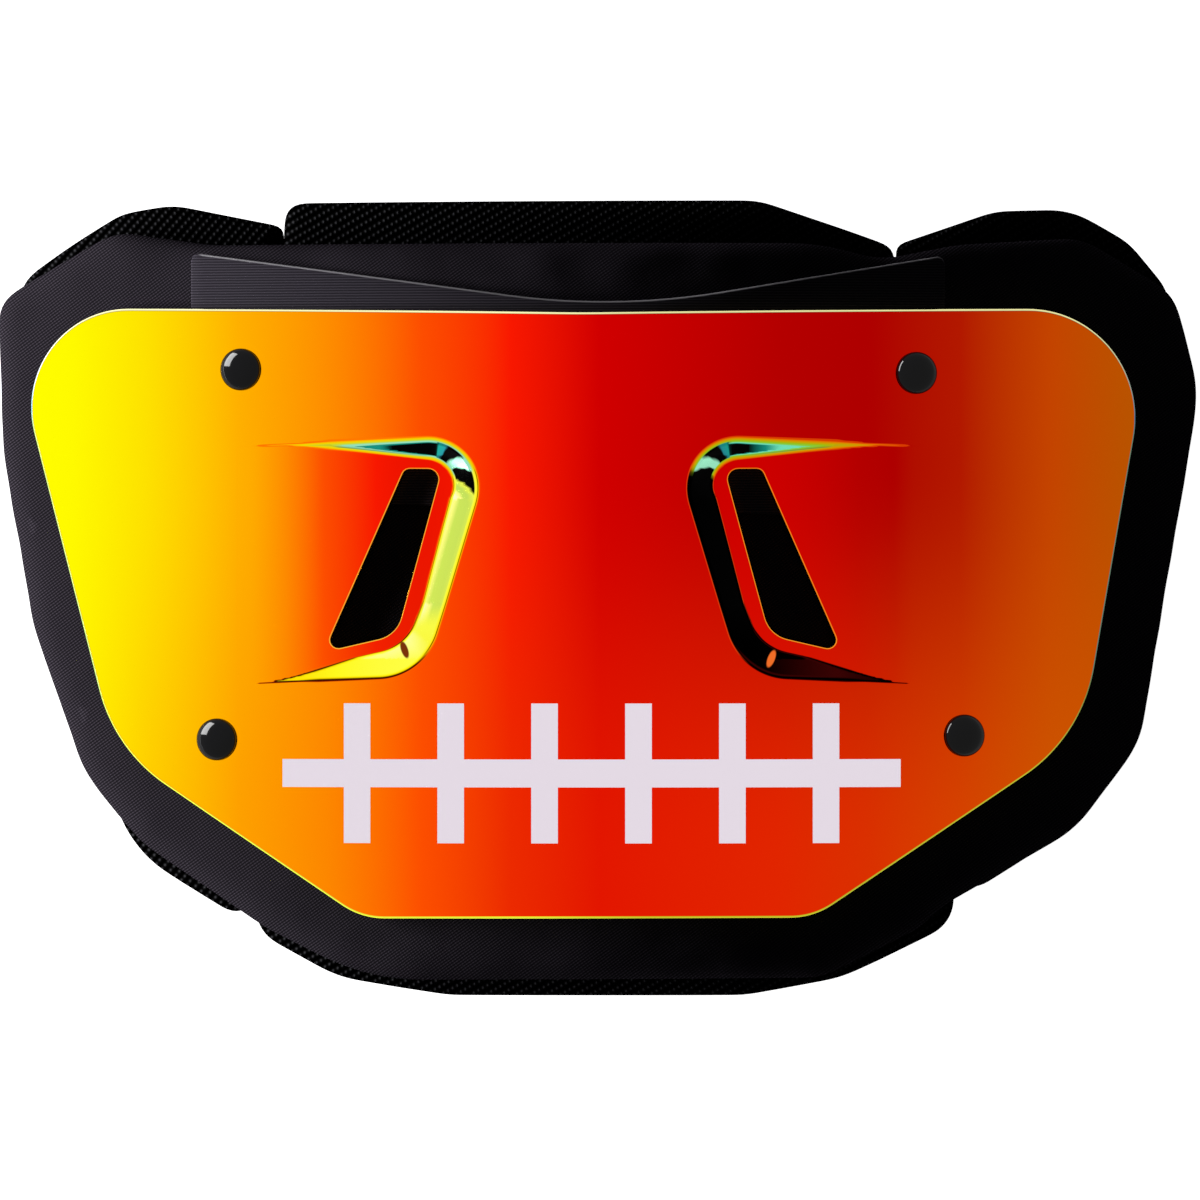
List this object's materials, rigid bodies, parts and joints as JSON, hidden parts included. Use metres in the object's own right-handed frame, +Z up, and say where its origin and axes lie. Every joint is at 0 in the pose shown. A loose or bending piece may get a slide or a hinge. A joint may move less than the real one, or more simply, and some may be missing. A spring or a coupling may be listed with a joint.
{
  "type": "football back plate",
  "caption": "Curved glossy back plate with slanted vents, riveted over a strap and a nylon pad with mesh-covered back pads; worn below the shoulder pads.",
  "frame": {"origin": "centre of the bounding box's footprint, on the surface that the side pads rest on", "axes": "+Z up from the surface, which is out of the plate's face; +Y towards the top edge; +X to the right as the face is seen with its top edge up"},
  "size_m": [0.365, 0.2402, 0.076],
  "materials": {
    "plate_coating": "mirror-coated polycarbonate that shifts from yellow through orange to red",
    "rivet_black": "glossy black domed cap",
    "strap_webbing": "finely ribbed black strap",
    "nylon_cover": "plain black nylon cloth with a faint sheen",
    "mesh_cover": "black twill-ribbed mesh"
  },
  "bodies": {
    "root": {"face_plate": "plate_coating", "rivet_top_left": "rivet_black", "rivet_top_right": "rivet_black", "rivet_bottom_left": "rivet_black", "rivet_bottom_right": "rivet_black", "mount_strap": "strap_webbing", "cover_pad": "nylon_cover", "back_pad_left": "mesh_cover", "back_pad_center": "mesh_cover", "back_pad_right": "mesh_cover"}
  },
  "joints": []
}
